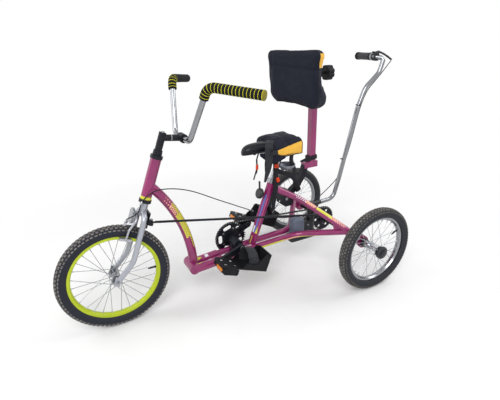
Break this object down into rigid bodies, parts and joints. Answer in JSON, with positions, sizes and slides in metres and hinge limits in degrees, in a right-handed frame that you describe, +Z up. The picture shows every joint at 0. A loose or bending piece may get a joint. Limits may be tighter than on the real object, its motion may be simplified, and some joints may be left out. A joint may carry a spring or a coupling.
{
  "type": "rehabilitation tricycle",
  "caption": "Child's rehabilitation tricycle with a steered front wheel, padded saddle and backrest, foot plates on the pedals and an attendant's steering push handle.",
  "frame": {"origin": "bottom centre of the bounding box, on the ground", "axes": "+X forward, +Y to the rider's left, +Z up"},
  "size_m": [1.6907, 0.786, 1.0799],
  "materials": {
    "alloy": "satin",
    "black_paint": "satin",
    "black_plastic": "gloss",
    "cable_black": "satin",
    "chrome": "polished",
    "clear_plastic": "gloss",
    "fabric": "matte",
    "foam": "matte",
    "fork_paint": "gloss",
    "frame_paint": "gloss",
    "lime_rim": "gloss",
    "steel": "satin",
    "tyre_rubber": "matte",
    "webbing": "matte"
  },
  "bodies": {
    "frame": {"backrest_bar": "black_paint", "backrest_holder": "black_paint", "backrest_knob": "black_plastic", "backrest_pad": "fabric", "backrest_post": "frame_paint", "bottom_bracket": "frame_paint", "brake_cable_frame": "cable_black", "chain": "steel", "cross_tube": "frame_paint", "down_tube": "frame_paint", "head_tube": "frame_paint", "headset_lower_cup": "black_paint", "headset_upper_cup": "black_paint", "hub_carrier_left": "frame_paint", "hub_carrier_right": "frame_paint", "lower_tube_left": "frame_paint", "lower_tube_right": "frame_paint", "pivot_block": "black_paint", "rear_axle": "chrome", "saddle": "black_plastic", "seat_clamp": "chrome", "seat_cushion": "fabric", "seat_post": "chrome", "seat_tube": "frame_paint", "upper_stay_left": "frame_paint", "upper_stay_right": "frame_paint"},
    "steering": {"brake_cable_fork": "cable_black", "fork": "fork_paint", "front_axle": "chrome", "stem": "black_paint", "handlebar": "chrome", "grip_left": "foam", "grip_right": "foam", "steering_arm": "black_paint", "front_brake": "alloy", "front_reflector": "clear_plastic"},
    "front_wheel": {"front_tyre": "tyre_rubber", "front_rim": "lime_rim", "front_hub": "chrome"},
    "rear_wheel_left": {"rear_tyre_left": "tyre_rubber", "rear_rim_left": "alloy", "rear_hub_left": "chrome"},
    "rear_wheel_right": {"rear_tyre_right": "tyre_rubber", "rear_rim_right": "alloy", "rear_hub_right": "chrome"},
    "sprocket": {"drive_sprocket": "black_paint"},
    "crank": {"chainring": "black_paint", "crank_spindle": "black_paint", "crank_arm_left": "black_paint", "crank_arm_right": "black_paint"},
    "pedal_left": {"pedal_body_left": "black_paint", "foot_plate_left": "black_paint", "foot_strap_left": "webbing"},
    "pedal_right": {"pedal_body_right": "black_paint", "foot_plate_right": "black_paint", "foot_strap_right": "webbing"},
    "attendant_handle": {"push_handle": "chrome", "brake_lever": "black_plastic", "brake_cable_handle": "cable_black"},
    "track_rod": {"steering_rod": "black_paint"}
  },
  "joints": [
    {"name": "steering_turn", "type": "hinge", "parent": "frame", "child": "steering", "pos_m": [0.44826, 0, 0.54248], "axis": [-0.3665, 0, 0.9304], "range_deg": [-30, 30]},
    {"name": "front_wheel_spin", "type": "hinge", "parent": "steering", "child": "front_wheel", "pos_m": [0.61542, 0, 0.23], "axis": [0, 1, 0], "continuous": true},
    {"name": "rear_wheel_left_spin", "type": "hinge", "parent": "frame", "child": "rear_wheel_left", "pos_m": [-0.49458, 0.341, 0.203], "axis": [0, 1, 0], "continuous": true},
    {"name": "rear_wheel_right_spin", "type": "hinge", "parent": "frame", "child": "rear_wheel_right", "pos_m": [-0.49458, -0.341, 0.203], "axis": [0, 1, 0], "continuous": true},
    {"name": "crank_spin", "type": "hinge", "parent": "frame", "child": "crank", "pos_m": [0.06042, 0, 0.238], "axis": [0, 1, 0], "continuous": true},
    {"name": "sprocket_spin", "type": "hinge", "parent": "frame", "child": "sprocket", "pos_m": [-0.49458, -0.05, 0.203], "axis": [0, 1, 0], "continuous": true},
    {"name": "pedal_left_spin", "type": "hinge", "parent": "crank", "child": "pedal_left", "pos_m": [0.16253, 0.132, 0.20284], "axis": [0, 1, 0], "continuous": true},
    {"name": "pedal_right_spin", "type": "hinge", "parent": "crank", "child": "pedal_right", "pos_m": [-0.0417, -0.132, 0.27316], "axis": [0, 1, 0], "continuous": true},
    {"name": "attendant_handle_turn", "type": "hinge", "parent": "frame", "child": "attendant_handle", "pos_m": [-0.37458, 0, 0.158], "axis": [0, 0, 1], "range_deg": [-30, 30]},
    {"name": "track_rod_turn", "type": "hinge", "parent": "steering", "child": "track_rod", "pos_m": [0.45305, 0.06, 0.46483], "axis": [-0.3664, -0.026, 0.9301], "range_deg": [-30, 30]}
  ],
  "couplings": [
    {"joint": "sprocket_spin", "follows": "crank_spin", "ratio": 1.1875},
    {"joint": "attendant_handle_turn", "follows": "steering_turn", "ratio": 1},
    {"joint": "track_rod_turn", "follows": "steering_turn", "ratio": -1}
  ]
}
